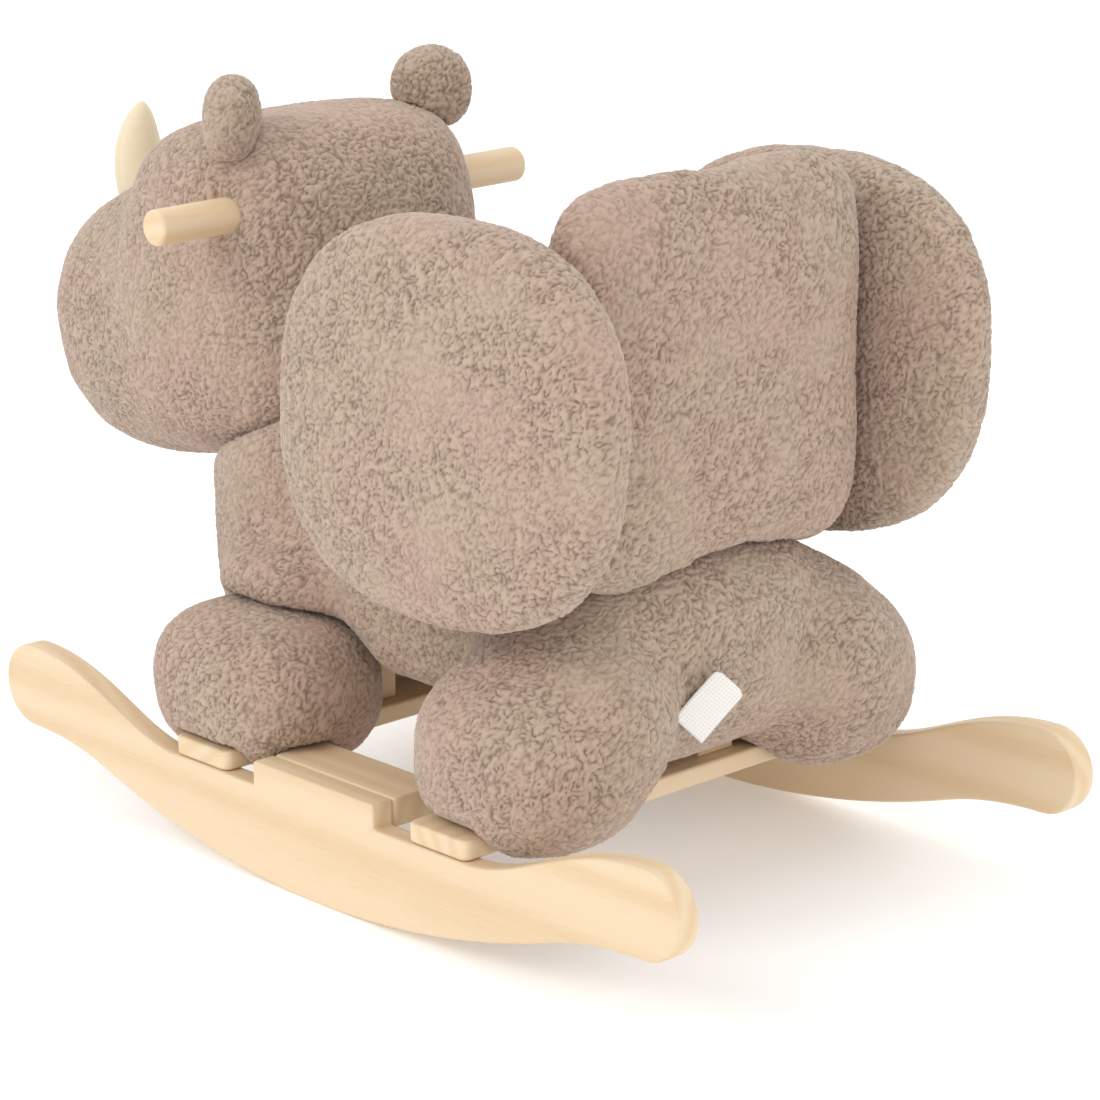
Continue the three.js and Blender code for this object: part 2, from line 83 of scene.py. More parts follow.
# ---------- Sizes and colours that a user would change ----------
class RockerSizes(bpy.types.PropertyGroup):
    """Sizes of the rocker's covers and boards"""

    curl: FloatProperty(
        name="Curl Size", description="Width of one curl of the fleece", default=4.0 * MM,
        unit="LENGTH", subtype="DISTANCE")
    pile: FloatProperty(
        name="Pile Depth", description="Depth of the furrows between the curls", default=1.4 * MM,
        unit="LENGTH", subtype="DISTANCE")
    net: FloatProperty(
        name="Net Step", description="Spacing of the net that the covers are made on", default=5.6 * MM,
        unit="LENGTH", subtype="DISTANCE")
    edge_round: FloatProperty(
        name="Board Edge Rounding", description="Radius of the boards' sanded edges", default=2.0 * MM,
        unit="LENGTH", subtype="DISTANCE")
    tape: FloatProperty(
        name="Tape Thickness", description="Thickness of the sewn tag's tape", default=0.5 * MM,
        unit="LENGTH", subtype="DISTANCE")


class RockerColours(bpy.types.PropertyGroup):
    """Colours of the rocker, as sRGB hex values"""

    fleece: StringProperty(name="Fleece", description="Crest of the fleece's curls", default="B9A592")
    fleece_rosy: StringProperty(name="Rosy Fleece", description="Where the fleece is rosier", default="BCA191")
    # Painted shade: the colour that the furrows between the curls are darkened to.
    fleece_furrow_shade: StringProperty(name="Fleece Furrows", description="Between the curls", default="7F6C5C")
    pine: StringProperty(name="Pine", description="Early wood", default="E6CFAE")
    pine_late: StringProperty(name="Pine Late Wood", description="Lines of late wood", default="D6B585")
    felt: StringProperty(name="Felt", description="The horn's felt", default="EADCC0")
    tape: StringProperty(name="Tape", description="The sewn tag's tape", default="F2F0EC")


# ---------- Materials ----------
def linear(hex_colour):
    """An sRGB hex value as a linear colour with alpha."""
    channels = [int(hex_colour[i:i + 2], 16) / 255 for i in (0, 2, 4)]
    return [c / 12.92 if c <= 0.04045 else ((c + 0.055) / 1.055) ** 2.4 for c in channels] + [1.0]


def add_node(tree, kind, inputs=(), **settings):
    """Adds a node, sets its attributes, and sets or links the inputs given as {name or index: value or socket}."""
    node = tree.nodes.new(kind)
    for name, value in settings.items():
        setattr(node, name, value)
    for name, value in dict(inputs).items():
        if isinstance(value, bpy.types.NodeSocket):
            tree.links.new(value, node.inputs[name])
        else:
            node.inputs[name].default_value = value
    return node


def new_material(name):
    """An empty material with a Principled surface, and its node tree and shader."""
    material = bpy.data.materials.new(name)
    material.use_nodes = True
    tree = material.node_tree
    tree.nodes.clear()
    shader = add_node(tree, "ShaderNodeBsdfPrincipled")
    output = add_node(tree, "ShaderNodeOutputMaterial", {"Surface": shader.outputs["BSDF"]})
    output.target = "ALL"
    return material, tree, shader


def set_ramp(ramp, stops):
    """Gives a colour ramp these (position, colour) stops."""
    elements = ramp.color_ramp.elements
    while len(elements) > 1:
        elements.remove(elements[-1])
    elements[0].position, elements[0].color = stops[0]
    for position, colour in stops[1:]:
        elements.new(position).color = colour


def curly_fleece(colours):
    """Polyester teddy fleece, knitted and tumbled until the pile curls: matt crests over furrows darkened with painted
    shade.
    """
    material, tree, shader = new_material("curly_teddy_fleece_knitted")
    place = add_node(tree, "ShaderNodeTexCoord").outputs["Object"]
    pile = add_node(tree, "ShaderNodeAttribute", attribute_name="pile").outputs["Fac"]
    fibres = add_node(tree, "ShaderNodeTexNoise", {
        "Vector": place, "Scale": 1 / (1.1 * MM), "Detail": 3.0, "Roughness": 0.65})
    tufts = add_node(tree, "ShaderNodeMath", {
        0: fibres.outputs["Fac"], 1: 0.34, 2: -0.17}, operation="MULTIPLY_ADD")
    height = add_node(tree, "ShaderNodeMath", {0: pile, 1: tufts.outputs[0]}, operation="ADD")
    # Random rosier and greyer patches about 95 mm across.
    rosy_patch_noise = add_node(tree, "ShaderNodeTexNoise", {
        "Vector": place, "Scale": 1 / (95 * MM), "Detail": 2.0, "Roughness": 0.5})
    patches = add_node(tree, "ShaderNodeMapRange", {
        "Value": rosy_patch_noise.outputs["Fac"], "From Min": 0.42, "From Max": 0.58})
    crest = add_node(tree, "ShaderNodeValToRGB", {"Fac": patches.outputs["Result"]})
    set_ramp(crest, [(0.0, linear(colours.fleece)), (1.0, linear(colours.fleece_rosy))])
    # Painted shade: the lower the pile, the more the colour goes from the crest colour to the furrow shade colour.
    lit = add_node(tree, "ShaderNodeValToRGB", {"Fac": height.outputs[0]})
    set_ramp(lit, [(0.02, (0.0, 0.0, 0.0, 1)), (0.42, (0.62, 0.62, 0.62, 1)), (0.95, (1, 1, 1, 1))])
    colour = add_node(tree, "ShaderNodeMixRGB", {
        "Fac": lit.outputs["Color"], "Color1": linear(colours.fleece_furrow_shade), "Color2": crest.outputs["Color"]})
    tree.links.new(colour.outputs["Color"], shader.inputs["Base Color"])
    bump = add_node(tree, "ShaderNodeBump", {
        "Height": height.outputs[0], "Strength": 0.55, "Distance": 0.8 * MM})
    tree.links.new(bump.outputs["Normal"], shader.inputs["Normal"])
    shader.inputs["Roughness"].default_value = 0.95
    shader.inputs["Specular IOR Level"].default_value = 0.15
    shader.inputs["Sheen Weight"].default_value = 0.35
    shader.inputs["Sheen Roughness"].default_value = 0.5
    return material


def sawn_pine(colours, along, name):
    """Pine, planed, sanded and oiled: pale early wood with thin darker lines that run along the board."""
    material, tree, shader = new_material(name)
    place = add_node(tree, "ShaderNodeTexCoord").outputs["Object"]
    stretch = [1.0, 1.0, 1.0]
    stretch[along] = 0.06  # figure is about sixteen times longer than it is wide
    fibre_place = add_node(tree, "ShaderNodeMapping", {"Vector": place, "Scale": stretch})
    wander = add_node(tree, "ShaderNodeTexNoise", {
        "Vector": fibre_place.outputs[0], "Scale": 1 / (38 * MM), "Detail": 2.0})
    bend = add_node(tree, "ShaderNodeVectorMath", {
        0: wander.outputs["Color"], 1: (14 * MM, 14 * MM, 14 * MM)}, operation="MULTIPLY")
    bent = add_node(tree, "ShaderNodeVectorMath", {0: fibre_place.outputs[0], 1: bend.outputs[0]}, operation="ADD")
    rings = add_node(tree, "ShaderNodeTexWave", {
        "Vector": bent.outputs[0], "Scale": 1 / (20 * MM) / 2, "Distortion": 1.2, "Detail": 2.0,
        "Detail Scale": 1.4}, wave_type="RINGS", rings_direction="XYZ"[along])
    fibres = add_node(tree, "ShaderNodeTexNoise", {
        "Vector": fibre_place.outputs[0], "Scale": 1 / (1.1 * MM), "Detail": 3.0, "Roughness": 0.7})
    figure = add_node(tree, "ShaderNodeMath", {
        0: fibres.outputs["Fac"], 1: 0.55, 2: -0.2}, operation="MULTIPLY_ADD")
    share = add_node(tree, "ShaderNodeMath", {
        0: rings.outputs["Fac"], 1: 0.35, 2: figure.outputs[0]}, operation="MULTIPLY_ADD")
    colour = add_node(tree, "ShaderNodeValToRGB", {"Fac": share.outputs[0]})
    set_ramp(colour, [(0.1, linear(colours.pine)), (0.85, linear(colours.pine_late))])
    tree.links.new(colour.outputs["Color"], shader.inputs["Base Color"])
    rough = add_node(tree, "ShaderNodeMapRange", {
        "Value": fibres.outputs["Fac"], "To Min": 0.42, "To Max": 0.6})
    tree.links.new(rough.outputs["Result"], shader.inputs["Roughness"])
    bump = add_node(tree, "ShaderNodeBump", {
        "Height": fibres.outputs["Fac"], "Strength": 0.12, "Distance": 0.3 * MM})
    tree.links.new(bump.outputs["Normal"], shader.inputs["Normal"])
    shader.inputs["IOR"].default_value = 1.48
    return material


def birch_plywood(colours):
    """Birch plywood, peeled and glued: fine short figure, a little darker than the pine."""
    material, tree, shader = new_material("birch_plywood_sanded")
    place = add_node(tree, "ShaderNodeTexCoord").outputs["Object"]
    stretched = add_node(tree, "ShaderNodeMapping", {"Vector": place, "Scale": (0.15, 1.0, 1.0)})
    figure = add_node(tree, "ShaderNodeTexNoise", {
        "Vector": stretched.outputs[0], "Scale": 1 / (4 * MM), "Detail": 4.0})
    colour = add_node(tree, "ShaderNodeValToRGB", {"Fac": figure.outputs["Fac"]})
    set_ramp(colour, [(0.3, linear("D9BD92")), (0.7, linear("C7A676"))])
    tree.links.new(colour.outputs["Color"], shader.inputs["Base Color"])
    shader.inputs["Roughness"].default_value = 0.65
    return material


def stuffed_felt(colours):
    """Wool felt, pressed: short tangled fibres and an even, matt cream face."""
    material, tree, shader = new_material("wool_felt_pressed")
    place = add_node(tree, "ShaderNodeTexCoord").outputs["Object"]
    fibres = add_node(tree, "ShaderNodeTexNoise", {
        "Vector": place, "Scale": 1 / (0.9 * MM), "Detail": 4.0, "Roughness": 0.7, "Distortion": 1.5})
    colour = add_node(tree, "ShaderNodeValToRGB", {"Fac": fibres.outputs["Fac"]})
    set_ramp(colour, [(0.25, linear("DCCBAA")), (0.7, linear(colours.felt))])
    tree.links.new(colour.outputs["Color"], shader.inputs["Base Color"])
    bump = add_node(tree, "ShaderNodeBump", {
        "Height": fibres.outputs["Fac"], "Strength": 0.35, "Distance": 0.3 * MM})
    tree.links.new(bump.outputs["Normal"], shader.inputs["Normal"])
    shader.inputs["Roughness"].default_value = 0.85
    shader.inputs["Sheen Weight"].default_value = 0.3
    return material


def woven_tape(colours):
    """Polyester satin tape, woven: crossing threads half a millimetre apart and cut ends."""
    material, tree, shader = new_material("satin_tape_woven")
    place = add_node(tree, "ShaderNodeTexCoord").outputs["Object"]
    # The threads lie 0.5 mm apart, which is drawn at 0.9 mm so that the weave shows.
    turned = add_node(tree, "ShaderNodeMapping", {"Vector": place, "Rotation": (math.pi / 4, 0, 0)})
    weave = [add_node(tree, "ShaderNodeTexWave", {
        "Vector": turned.outputs[0], "Scale": 1 / (0.9 * MM) / 6.5}, bands_direction=way) for way in ("Y", "Z")]
    crossing = add_node(tree, "ShaderNodeMath", {
        0: weave[0].outputs["Fac"], 1: weave[1].outputs["Fac"]}, operation="MAXIMUM")
    colour = add_node(tree, "ShaderNodeValToRGB", {"Fac": crossing.outputs[0]})
    set_ramp(colour, [(0.1, linear("DEDBD6")), (0.8, linear(colours.tape))])
    tree.links.new(colour.outputs["Color"], shader.inputs["Base Color"])
    bump = add_node(tree, "ShaderNodeBump", {
        "Height": crossing.outputs[0], "Strength": 0.3, "Distance": 0.15 * MM})
    tree.links.new(bump.outputs["Normal"], shader.inputs["Normal"])
    shader.inputs["Roughness"].default_value = 0.6
    shader.inputs["Sheen Weight"].default_value = 0.2
    return material


def zinc_steel():
    """Steel screws, zinc plated: a bright bluish grey with fine turning marks."""
    material, tree, shader = new_material("steel_zinc_plated")
    place = add_node(tree, "ShaderNodeTexCoord").outputs["Object"]
    marks = add_node(tree, "ShaderNodeTexNoise", {"Vector": place, "Scale": 1 / (0.8 * MM), "Detail": 3.0})
    colour = add_node(tree, "ShaderNodeValToRGB", {"Fac": marks.outputs["Fac"]})
    set_ramp(colour, [(0.3, linear("A9ACB0")), (0.7, linear("C3C6CA"))])
    tree.links.new(colour.outputs["Color"], shader.inputs["Base Color"])
    shader.inputs["Metallic"].default_value = 1.0
    shader.inputs["Roughness"].default_value = 0.35
    return material


made_materials = {}


def finish_named(name):
    """One of the rocker's materials, made the first time that it is asked for."""
    if name not in made_materials:
        colours = bpy.context.scene.rocker_colours
        makers = {
            "fleece": lambda: curly_fleece(colours),
            "pine_x": lambda: sawn_pine(colours, 0, "pine_board_planed_lengthways"),
            "pine_y": lambda: sawn_pine(colours, 1, "pine_bar_planed_crossways"),
            "pine_z": lambda: sawn_pine(colours, 2, "pine_post_planed_upright"),
            "plywood": lambda: birch_plywood(colours),
            "felt": lambda: stuffed_felt(colours),
            "tape": lambda: woven_tape(colours),
            "steel": zinc_steel,
        }
        made_materials[name] = makers[name]()
    return made_materials[name]


# ---------- Padded shapes as distance fields, in millimetres ----------
def pillow(at, half, outline, edge, rim=2, tilt=0.0, turn=0.0, lean=0.0):
    """A closed pillow: outline is its fullness across the rim axis, edge the fullness of its rim.

    Tilt turns it nose down, turn swings it about the upright, and lean pushes its top back.
    """
    at, half = np.array(at, float), np.array(half, float)
    across = [axis for axis in range(3) if axis != rim]
    c, s = math.cos(math.radians(turn)), math.sin(math.radians(turn))
    ct, st = math.cos(math.radians(tilt)), math.sin(math.radians(tilt))

    def fullness(points):
        x, y, z = (points - at).T
        x, y = c * x + s * y, -s * x + c * y
        x, z = ct * x + st * z, -st * x + ct * z
        local = np.abs(np.stack([x - lean * z, y, z], 1)) / half + 1e-9
        face = local[:, across[0]] ** outline + local[:, across[1]] ** outline
        return (face ** (edge / outline) + local[:, rim] ** edge) ** (1 / edge)

    def distance(points):
        value = fullness(points)
        steps = [fullness(points + step) - value for step in np.eye(3) * 0.5]
        slope = np.sqrt(sum(step ** 2 for step in steps)) / 0.5
        return (value - 1) / np.maximum(slope, 1e-4)

    return distance


def block(low, high, corner=1.0):
    """A box with slightly rounded corners."""
    low, high = np.array(low, float), np.array(high, float)
    middle, half = (low + high) / 2, (high - low) / 2 - corner

    def distance(points):
        out = np.abs(points - middle) - half
        beyond = np.linalg.norm(np.maximum(out, 0), axis=1)
        return beyond + np.minimum(out.max(1), 0) - corner

    return distance


def blended(a, b, width):
    """The nearer of two distances, with a smooth valley of that width between them."""
    near = np.maximum(width - np.abs(a - b), 0) / width
    return np.minimum(a, b) - near * near * width / 4


def joined(shapes, width):
    def distance(points):
        total = shapes[0](points)
        for shape in shapes[1:]:
            total = blended(total, shape(points), width)
        return total

    return distance


def pressed(shape, neighbours, gap=1.2, width=5.0):
    """A shape pushed in by its neighbours, with a gap to them and a rounded rim around each hollow."""
    def distance(points):
        total = shape(points)
        for neighbour in neighbours:
            total = -blended(-total, neighbour(points) - gap, width)
        return total

    return distance


# ---------- Nets of even squares over a distance field ----------
def slope_of(field, points, reach=0.4):
    value = field(points)
    steps = [field(points + step) - value for step in np.eye(3) * reach]
    return value, np.stack(steps, 1) / reach


def settle(field, points, times=2):
    """Moves points along the field's slope until they lie on its surface."""
    for _ in range(times):
        value, slope = slope_of(field, points)
        size = np.maximum((slope ** 2).sum(1), 0.05)
        points = points - slope * np.clip(value / size, -4, 4)[:, None]
    return points


def surface_net(field, low, high, step):
    """Squares about one step wide over the surface of a field: vertices and faces."""
    axes = [np.arange(l - 2 * step, h + 3 * step, step) for l, h in zip(low, high)]
    grid = np.stack(np.meshgrid(*axes, indexing="ij"), -1)
    size = grid.shape[:3]
    value = field(grid.reshape(-1, 3)).reshape(size)
    cells = tuple(n - 1 for n in size)
    total, count = np.zeros(cells + (3,)), np.zeros(cells)
    crossings = []
    for axis in range(3):
        first = [slice(None)] * 3
        second = [slice(None)] * 3
        first[axis], second[axis] = slice(0, -1), slice(1, None)
        a, b = value[tuple(first)], value[tuple(second)]
        crossed = (a < 0) != (b < 0)
        share = np.where(crossed, a / np.where(crossed, a - b, 1), 0)
        spot = grid[tuple(first)].copy()
        spot[..., axis] += share * step
        others = [k for k in range(3) if k != axis]
        for move in ((0, 0), (0, 1), (1, 0), (1, 1)):
            source, target = [slice(None)] * 3, [slice(None)] * 3
            for k, m in zip(others, move):
                source[k] = slice(m, size[k] - 1 + m)
                target[k] = slice(0, cells[k])
            hit = crossed[tuple(source)]
            total[tuple(target)] += spot[tuple(source)] * hit[..., None]
            count[tuple(target)] += hit
        crossings.append((axis, others, crossed, a < 0))
    used = count > 0
    number = np.full(cells, -1)
    number[used] = np.arange(used.sum())
    points = total[used] / count[used][:, None]
    faces = []
    for axis, others, crossed, outward in crossings:
        at = np.argwhere(crossed)
        inner = np.all([(at[:, k] > 0) & (at[:, k] < size[k] - 1) for k in others], axis=0)
        at = at[inner]
        way = outward[tuple(at.T)]
        corners = []
        for move in ((1, 1), (0, 1), (0, 0), (1, 0)):
            cell = at.copy()
            for k, m in zip(others, move):
                cell[:, k] -= m
            corners.append(number[tuple(cell.T)])
        quads = np.stack(corners, 1)
        if axis == 1:
            way = ~way
        quads[~way] = quads[~way][:, ::-1]
        faces.append(quads)
    return points, np.concatenate(faces)


def relaxed(field, points, faces, times=4):
    """Evens out a net's squares, keeping it on the surface."""
    pairs = np.concatenate([faces[:, [i, (i + 1) % 4]] for i in range(4)])
    degree = np.bincount(pairs[:, 0], minlength=len(points)) + np.bincount(pairs[:, 1], minlength=len(points))
    for _ in range(times):
        total = np.zeros_like(points)
        for a, b in ((0, 1), (1, 0)):
            for k in range(3):
                total[:, k] += np.bincount(pairs[:, a], points[pairs[:, b], k], minlength=len(points))
        points = settle(field, points * 0.4 + 0.6 * total / degree[:, None], 1)
    return points


# ---------- Noise for the fleece ----------
GRADIENTS = np.random.default_rng(7).normal(size=(256, 3)).astype(np.float32)
GRADIENTS /= np.linalg.norm(GRADIENTS, axis=1)[:, None]
SHUFFLE = np.random.default_rng(11).permutation(256).astype(np.int32)


def gradient_noise(points):
    """Smooth noise from about -1 to 1 with hills about one unit wide."""
    base = np.floor(points).astype(np.int32)
    part = (points - base).astype(np.float32)
    ease = part ** 3 * (part * (part * 6 - 15) + 10)
    total = np.zeros(len(points), np.float32)
    for corner in np.ndindex(2, 2, 2):
        x, y, z = ((base + corner) & 255).T
        pick = SHUFFLE[(SHUFFLE[(SHUFFLE[x] + y) & 255] + z) & 255]
        dot = (GRADIENTS[pick] * (part - np.array(corner, np.float32))).sum(1)
        weight = np.ones(len(points), np.float32)
        for axis in range(3):
            weight *= ease[:, axis] if corner[axis] else 1 - ease[:, axis]
        total += dot * weight
    return total * 1.6


def curls(points, size):
    """Height of curly pile from 0 in the furrows to 1 on the crests, at points in millimetres."""
    wander = np.stack([gradient_noise(points / (2.2 * size) + shift) for shift in (3.1, 17.7, 41.3)], 1)
    bent = points + wander * size * 0.55
    winding = np.abs(gradient_noise(bent / size))
    broken = np.abs(gradient_noise(bent / (0.72 * size) + 71.9))
    furrow = 1 - np.exp(-(winding / 0.17) ** 1.5)
    pinch = 1 - np.exp(-(broken / 0.13) ** 1.5)
    calm = np.clip(0.95 + 0.4 * gradient_noise(points / 42.0 + 13.7), 0.65, 1)
    return (1 - calm * (1 - furrow * (0.45 + 0.55 * pinch))).astype(np.float32)


# ---------- Making pieces ----------
def new_object(name, points, faces, material):
    """An object from points in millimetres and faces."""
    mesh = bpy.data.meshes.new(name)
    mesh.from_pydata((np.asarray(points) * MM).tolist(), [], [list(face) for face in faces])
    mesh.materials.append(finish_named(material))
    piece = bpy.data.objects.new(name, mesh)
    bpy.context.scene.collection.objects.link(piece)
    return piece


def mount_piece(piece, slot, *nodes):
    """Rides a piece on the rocker and lets it stand for nodes of the frame; the slot is not used."""
    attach(piece, BODY)
    if nodes:
        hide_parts(*nodes)
    return piece


def apply_modifiers(piece):
    """Swaps a piece's mesh for its evaluated one and drops its modifiers."""
    graph = bpy.context.evaluated_depsgraph_get()
    old = piece.data
    piece.data = bpy.data.meshes.new_from_object(piece.evaluated_get(graph))
    piece.modifiers.clear()
    name = old.name
    bpy.data.meshes.remove(old)
    piece.data.name = name


def places(mesh):
    found = np.empty(len(mesh.vertices) * 3, np.float32)
    mesh.vertices.foreach_get("co", found)
    return found.reshape(-1, 3)


def puff(piece, field, cap):
    """Blows up the cover with cloth simulation, keeps its points within cap of where they were, and fills it out.

    Four fifths of what is left between each point and the stuffed shape is made up, so slack stays as soft dents.
    """
    before = places(piece.data)
    cloth = piece.modifiers.new("filling", "CLOTH")
    cloth.settings.quality = 5
    cloth.settings.mass = 0.3
    cloth.settings.use_pressure = True
    cloth.settings.uniform_pressure_force = 4.0
    cloth.settings.tension_stiffness = 20
    cloth.settings.compression_stiffness = 20
    cloth.settings.shear_stiffness = 8
    cloth.settings.bending_stiffness = 1.0
    cloth.settings.effector_weights.gravity = 0.0
    cloth.point_cache.frame_start, cloth.point_cache.frame_end = 1, PUFF_FRAMES
    for step in range(1, PUFF_FRAMES + 1):
        bpy.context.scene.frame_set(step)
    apply_modifiers(piece)
    bpy.context.scene.frame_set(1)
    moved = places(piece.data) - before
    far = np.linalg.norm(moved, axis=1) / MM
    moved *= np.minimum(1, cap / np.maximum(far, 1e-6))[:, None]
    points = (before + moved) / MM
    value, slope = slope_of(field, points.astype(float))
    short = value / np.maximum((slope ** 2).sum(1), 0.05)
    points = points - 0.8 * slope * np.clip(short, -cap, cap)[:, None]
    piece.data.vertices.foreach_set("co", (points * MM).astype(np.float32).ravel())
    piece.data.update()


def fleece_cover(node, field, low, high, loose=3.0, even=0.8, also=()):
    """A stuffed fleece cover in the shape of a field, with its curls as real relief."""
    sizes = bpy.context.scene.rocker_sizes
    slack = loose
    start = lambda points: field(points) + slack
    points, faces = surface_net(start, low, high, sizes.net / MM)
    points = relaxed(start, settle(start, points), faces)
    piece = new_object(f"{node}_cover", points, faces, "fleece")
    puff(piece, field, 2 * loose)
    finer = piece.modifiers.new("finer", "SUBSURF")
    finer.levels = finer.render_levels = 2
    apply_modifiers(piece)
    mesh = piece.data
    normals = np.empty(len(mesh.vertices) * 3, np.float32)
    mesh.vertex_normals.foreach_get("vector", normals)
    normals = normals.reshape(-1, 3)
    spots = places(mesh) / MM
    pile = curls(spots, sizes.curl / MM)
    dents = gradient_noise(spots / 23.0 + 5.5) * even
    lift = (pile - 0.72) * sizes.pile / MM + dents
    shape = spots + normals * lift[:, None]
    mesh.vertices.foreach_set("co", (shape * MM).astype(np.float32).ravel())
    mesh.attributes.new("pile", "FLOAT", "POINT").data.foreach_set("value", pile)
    mesh.polygons.foreach_set("use_smooth", np.ones(len(mesh.polygons), bool))
    mesh.update()
    return mount_piece(piece, "teddy_fleece", node, *also)


# ---------- The padded shapes ----------
def shape_x(x):
    """Shapes are given from the rockers' middle, which lies at MIDDLE_X in the frame."""
    return MIDDLE_X + x


BARREL = pillow((shape_x(0), 0, 161), (180, 106, 57), 3.2, 3.2)
CHEST = pillow((shape_x(-142), 0, 177), (66, 103, 100), 2.8, 3.2)
RUMP = pillow((shape_x(112), 0, 149), (74, 112, 68), 2.8, 2.1)
CRANIUM = pillow((shape_x(-194), 0, 321), (92, 99, 102), 4.4, 2.8, rim=0, tilt=8)
SNOUT = pillow((shape_x(-294), 0, 279), (111, 89, 91), 2.3, 2.2, rim=0, tilt=13)
HEAD = joined([CRANIUM, SNOUT], 50.0)


def thigh(side, front):
    if front:
        return pillow((shape_x(-113), side * 90, 131), (61, 50, 50), 2.2, 2.2)
    return pillow((shape_x(132), side * 88, 133), (66, 50, 52), 2.2, 2.2)


def paw_ball(side, front):
    if front:
        return pillow((shape_x(-108), side * 113, 98), (71, 58, 50), 2.7, 2.6)
    return pillow((shape_x(124), side * 113, 107), (66, 57, 54), 2.5, 2.5)


def bar_space(end):
    low, high = node_box(f"cross_bar_{end}")
    return block(low, high)


def step_space(name):
    """A rocker's raised middle together with its footrest."""
    low, high = node_box(f"footrest_{name}")
    board_low, board_high = node_box(f"rocker_{name}")
    return block((low[0], min(low[1], board_low[1]), 0), (high[0], max(high[1], board_high[1]), high[2]))


def rocker_space(name):
    """The straight middle of a rocker's board."""
    low, high = node_box(f"rocker_{name}")
    return block((shape_x(-150), low[1], 0), (shape_x(150), high[1], node_box("cross_bar_rear")[0][2]))


BARS = [bar_space("front"), bar_space("rear")]
ROCKERS = [rocker_space(name) for name, side in SIDES]
STEPS = [step_space(name) for name, side in SIDES]
THIGHS = [thigh(side, front) for side in (-1, 1) for front in (True, False)]
FRONT_PAWS = [paw_ball(side, True) for side in (-1, 1)]
HIND_PAWS = [paw_ball(side, False) for side in (-1, 1)]
TRUNK = joined([BARREL, CHEST, RUMP] + THIGHS, 16.0)


def with_hind_paws(points):
    """The trunk with both hind legs running softly into their paws."""
    total = TRUNK(points)
    for paw in HIND_PAWS:
        total = blended(total, paw(points), 24.0)
    return total


# ---------- Boards ----------
def arc(centre, radius, start, end, steps):
    angles = np.radians(np.linspace(start, end, steps))
    return [(centre[0] + radius * math.cos(a), centre[1] + radius * math.sin(a)) for a in angles]


def curve(points, steps):
    """A cubic curve through four control points, without its first point."""
    p = np.array(points, float)
    t = np.linspace(0, 1, steps)[1:, None]
    spots = (1 - t) ** 3 * p[0] + 3 * (1 - t) ** 2 * t * p[1] + 3 * (1 - t) * t * t * p[2] + t ** 3 * p[3]
    return [tuple(spot) for spot in spots]


def board(name, outline, thickness, lay, material):
    """A board with sanded edges from an outline in millimetres. Lay turns it from the XY plane into place."""
    build = bmesh.new()
    rim = [build.verts.new((x * MM, y * MM, -thickness / 2 * MM)) for x, y in outline]
    face = build.faces.new(rim)
    grown = bmesh.ops.extrude_face_region(build, geom=[face])
    top = [v for v in grown["geom"] if isinstance(v, bmesh.types.BMVert)]
    bmesh.ops.translate(build, verts=top, vec=(0, 0, thickness * MM))
    bmesh.ops.recalc_face_normals(build, faces=build.faces)
    sharp = [e for e in build.edges if e.calc_face_angle(0) > math.radians(40)]
    bmesh.ops.bevel(
        build, geom=sharp, offset=bpy.context.scene.rocker_sizes.edge_round, segments=3, profile=0.5,
        affect="EDGES", clamp_overlap=True)
    build.transform(lay)
    mesh = bpy.data.meshes.new(name)
    build.to_mesh(mesh)
    build.free()
    mesh.materials.append(finish_named(material))
    piece = bpy.data.objects.new(name, mesh)
    bpy.context.scene.collection.objects.link(piece)
    for polygon in mesh.polygons:
        polygon.use_smooth = True
    even = piece.modifiers.new("even_shading", "WEIGHTED_NORMAL")
    even.keep_sharp = True
    even.weight = 100
    apply_modifiers(piece)
    return piece


def rocker_outline():
    """The rocker's outline from its middle: a rolling edge, turned-up tips and a raised middle for the footrest."""
    end = (ROCKER_HIGH[0] - ROCKER_LOW[0]) / 2
    radius, top, tip_run, tip_rise, tip_radius = 640, 59, 100, 11, 26
    foot_low, foot_high = node_box("footrest_left")
    bar_low, bar_high = node_box("cross_bar_rear")
    tab = (foot_high[0] - foot_low[0]) / 2
    tab_top = foot_high[2]
    flat_end = bar_high[0] - MIDDLE_X + 2
    arc_end = end - tip_run
    angle = math.degrees(math.asin(arc_end / radius))
    arc_z = radius * (1 - math.cos(math.radians(angle)))
    slope = math.tan(math.radians(angle))
    tip = end - tip_radius
    under, over = arc_z + tip_rise, arc_z + tip_rise + 2 * tip_radius
    reach, swoop = (tip - arc_end) / 3, (tip - flat_end) / 3
    right = arc((0, radius), radius, -90, -90 + angle, 16)
    right += curve([(arc_end, arc_z), (arc_end + reach, arc_z + slope * reach), (tip - reach, under), (tip, under)], 10)
    right += arc((tip, under + tip_radius), tip_radius, -90, 90, 17)[1:]
    right += curve([(tip, over), (tip - 1.35 * swoop, over), (flat_end + swoop, top + 3), (flat_end, top)], 18)
    right += [(tab, top), (tab, tab_top)]
    left = [(-x, z) for x, z in reversed(right[1:])]
    return right + left


def rounded_rectangle(length, width, corner):
    x, y = length / 2 - corner, width / 2 - corner
    outline = []
    for (cx, cy), start in (((x, y), 0), ((-x, y), 90), ((-x, -y), 180), ((x, -y), 270)):
        outline += arc((cx, cy), corner, start, start + 90, 6)
    return outline


